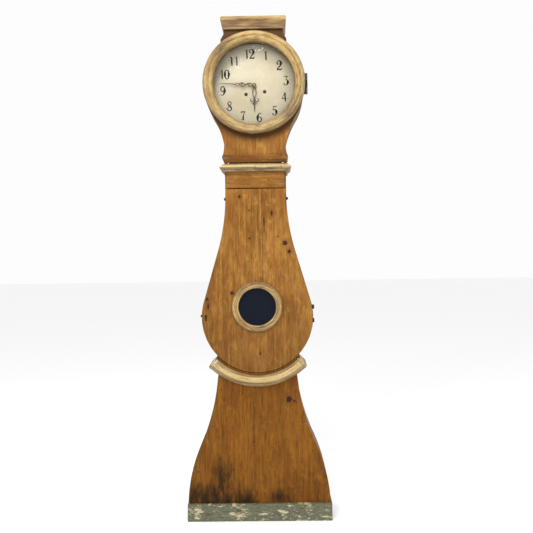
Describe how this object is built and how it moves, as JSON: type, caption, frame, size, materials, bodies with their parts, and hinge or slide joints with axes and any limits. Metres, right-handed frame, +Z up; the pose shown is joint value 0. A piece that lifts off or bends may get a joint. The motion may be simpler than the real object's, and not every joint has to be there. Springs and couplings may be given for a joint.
{
  "type": "longcase clock",
  "caption": "Pear-shaped longcase clock in waxed pine with a round glazed dial, sliding hood, trunk door with window, and a weight-driven striking movement with pendulum.",
  "frame": {"origin": "on the floor under the middle of the case width, at the depth zero line between the case front and back", "axes": "+Z up, the dial faces -Y, +X to the right seen from the front"},
  "size_m": [0.604, 0.24, 2.1],
  "materials": {
    "pine": "waxed, satin",
    "aged_pine": "dull, aged",
    "plinth_paint": "worn matt paint on wood",
    "gilt_paint": "worn cream and gold paint on wood",
    "glass": "clear",
    "iron": "blackened",
    "dial_paint": "satin enamel paint",
    "brass": "aged",
    "hand_metal": "browned",
    "steel": "dull",
    "bell_metal": "cast, dull",
    "weight_iron": "cast",
    "line": "twisted gut"
  },
  "bodies": {
    "case": {"floor_board": "aged_pine", "plinth_front": "plinth_paint", "plinth_sides": "plinth_paint", "base_front_panel": "pine", "base_sides": "aged_pine", "trunk_sides": "aged_pine", "back_board": "aged_pine", "crescent_moulding": "gilt_paint", "frieze_rail": "pine", "waist_moulding": "gilt_paint", "seat_cheeks": "aged_pine", "seat_board": "aged_pine", "case_nails": "iron", "case_ironwork": "iron", "dial_plate": "dial_paint", "front_plate": "brass", "back_plate": "brass", "pillars_and_dial_feet": "brass", "bell": "bell_metal", "bell_stand": "iron", "going_line": "line", "strike_line": "line"},
    "door": {"door_panel": "pine", "door_ring": "gilt_paint", "door_glass": "glass", "door_battens": "aged_pine", "door_ironwork": "iron"},
    "hook": {"door_hook": "iron"},
    "hood": {"hood_front_board": "pine", "hood_sides": "aged_pine", "hood_top_board": "aged_pine", "hood_foot_rail": "pine", "cornice": "gilt_paint", "hood_ironwork": "iron"},
    "bezel": {"bezel_ring": "gilt_paint", "bezel_glass": "glass", "bezel_hinge_leaf": "iron"},
    "minute_work": {"centre_arbor": "brass", "minute_hand": "hand_metal"},
    "hour_work": {"hour_wheel": "brass", "hour_hand": "hand_metal"},
    "minute_wheel": {"minute_wheel": "brass"},
    "great_wheel": {"going_great_wheel": "brass"},
    "third": {"third_arbor": "brass"},
    "escape": {"escape_arbor": "brass"},
    "pendulum": {"anchor_and_crutch": "steel", "pendulum_rod": "steel", "pendulum_bob": "brass"},
    "going_weight": {"going_weight": "weight_iron"},
    "going_barrel": {"going_barrel": "brass"},
    "going_pulley": {"going_pulley": "brass"},
    "strike_weight": {"strike_weight": "weight_iron"},
    "strike_barrel": {"strike_barrel": "brass"},
    "strike_pulley": {"strike_pulley": "brass"},
    "hoop": {"hoop_wheel_arbor": "brass"},
    "strike_great": {"strike_great_wheel": "brass"},
    "pin_wheel": {"pin_wheel_arbor": "brass"},
    "warning": {"warning_wheel_arbor": "brass"},
    "fly": {"fly_arbor": "brass"},
    "hammer": {"hammer_arbor": "steel"}
  },
  "joints": [
    {"name": "hood_slide", "type": "slide", "parent": "case", "child": "hood", "axis": [0, -1, 0], "range_m": [0, 0.3]},
    {"name": "bezel_hinge", "type": "hinge", "parent": "hood", "child": "bezel", "pos_m": [0.2175, -0.0995, 1.818], "axis": [0, 0, 1], "range_deg": [0, 110]},
    {"name": "door_hinge", "type": "hinge", "parent": "case", "child": "door", "pos_m": [0.2365, -0.073, 0.852], "axis": [0, 0, 1], "range_deg": [0, 110]},
    {"name": "door_hook_turn", "type": "hinge", "parent": "door", "child": "hook", "pos_m": [-0.216, -0.0894, 0.859], "axis": [0, 1, 0], "range_deg": [0, 90]},
    {"name": "minute_turn", "type": "hinge", "parent": "case", "child": "minute_work", "pos_m": [0, -0.01, 1.823], "axis": [0, 1, 0], "continuous": true},
    {"name": "hour_turn", "type": "hinge", "parent": "case", "child": "hour_work", "pos_m": [0, -0.047, 1.823], "axis": [0, 1, 0], "continuous": true},
    {"name": "minute_wheel_turn", "type": "hinge", "parent": "case", "child": "minute_wheel", "pos_m": [-0.01714, -0.044, 1.80763], "axis": [0, 1, 0], "continuous": true},
    {"name": "great_wheel_turn", "type": "hinge", "parent": "case", "child": "great_wheel", "pos_m": [0.04321, -0.033, 1.79742], "axis": [0, 1, 0], "continuous": true},
    {"name": "third_turn", "type": "hinge", "parent": "case", "child": "third", "pos_m": [0.00638, 0, 1.85117], "axis": [0, 1, 0], "continuous": true},
    {"name": "escape_turn", "type": "hinge", "parent": "case", "child": "escape", "pos_m": [-0.00655, 0, 1.87277], "axis": [0, 1, 0], "continuous": true},
    {"name": "pendulum_swing", "type": "hinge", "parent": "case", "child": "pendulum", "pos_m": [0, 0.04, 1.907], "axis": [0, 1, 0], "range_deg": [-3, 3]},
    {"name": "going_weight_rise", "type": "slide", "parent": "case", "child": "going_weight", "axis": [0, 0, 1], "range_m": [0, 1], "deforming": ["going_line"]},
    {"name": "going_barrel_turn", "type": "hinge", "parent": "case", "child": "going_barrel", "pos_m": [0.04321, 0, 1.79742], "axis": [0, 1, 0], "continuous": true},
    {"name": "going_pulley_turn", "type": "hinge", "parent": "going_weight", "child": "going_pulley", "pos_m": [0.04321, -0.012, 0.47], "axis": [0, 1, 0], "continuous": true},
    {"name": "strike_weight_rise", "type": "slide", "parent": "case", "child": "strike_weight", "axis": [0, 0, 1], "range_m": [0, 1], "deforming": ["strike_line"]},
    {"name": "strike_barrel_turn", "type": "hinge", "parent": "case", "child": "strike_barrel", "pos_m": [-0.03512, 0, 1.78711], "axis": [0, 1, 0], "continuous": true},
    {"name": "strike_pulley_turn", "type": "hinge", "parent": "strike_weight", "child": "strike_pulley", "pos_m": [-0.03512, -0.012, 0.47], "axis": [0, 1, 0], "continuous": true},
    {"name": "hoop_turn", "type": "hinge", "parent": "case", "child": "hoop", "pos_m": [-0.04138, 0, 1.86153], "axis": [0, 1, 0], "continuous": true},
    {"name": "strike_great_turn", "type": "hinge", "parent": "case", "child": "strike_great", "pos_m": [-0.03512, -0.027, 1.78711], "axis": [0, 1, 0], "continuous": true},
    {"name": "pin_wheel_turn", "type": "hinge", "parent": "case", "child": "pin_wheel", "pos_m": [-0.03739, 0, 1.83119], "axis": [0, 1, 0], "continuous": true},
    {"name": "warning_turn", "type": "hinge", "parent": "case", "child": "warning", "pos_m": [-0.05766, 0, 1.87794], "axis": [0, 1, 0], "continuous": true},
    {"name": "fly_turn", "type": "hinge", "parent": "case", "child": "fly", "pos_m": [-0.04548, 0, 1.89266], "axis": [0, 1, 0], "continuous": true},
    {"name": "hammer_swing", "type": "hinge", "parent": "case", "child": "hammer", "pos_m": [-0.06194, 0, 1.84914], "axis": [0, 1, 0], "range_deg": [-12, 0], "stiffness_Nm_per_rad": 0.6, "springref_deg": 6.88}
  ],
  "couplings": [
    {"joint": "hour_turn", "follows": "minute_turn", "ratio": 0.083333},
    {"joint": "minute_wheel_turn", "follows": "minute_turn", "ratio": -0.33333},
    {"joint": "great_wheel_turn", "follows": "minute_turn", "ratio": -0.083333},
    {"joint": "third_turn", "follows": "minute_turn", "ratio": -7.5},
    {"joint": "escape_turn", "follows": "minute_turn", "ratio": 60},
    {"joint": "going_barrel_turn", "follows": "going_weight_rise", "rad_per_m": -93.897},
    {"joint": "going_pulley_turn", "follows": "going_weight_rise", "rad_per_m": -46.948},
    {"joint": "strike_barrel_turn", "follows": "strike_weight_rise", "rad_per_m": 93.897},
    {"joint": "strike_pulley_turn", "follows": "strike_weight_rise", "rad_per_m": 46.948},
    {"joint": "pin_wheel_turn", "follows": "hoop_turn", "ratio": -0.125},
    {"joint": "strike_great_turn", "follows": "hoop_turn", "ratio": 0.012821},
    {"joint": "warning_turn", "follows": "hoop_turn", "ratio": -8},
    {"joint": "fly_turn", "follows": "hoop_turn", "ratio": 64}
  ]
}
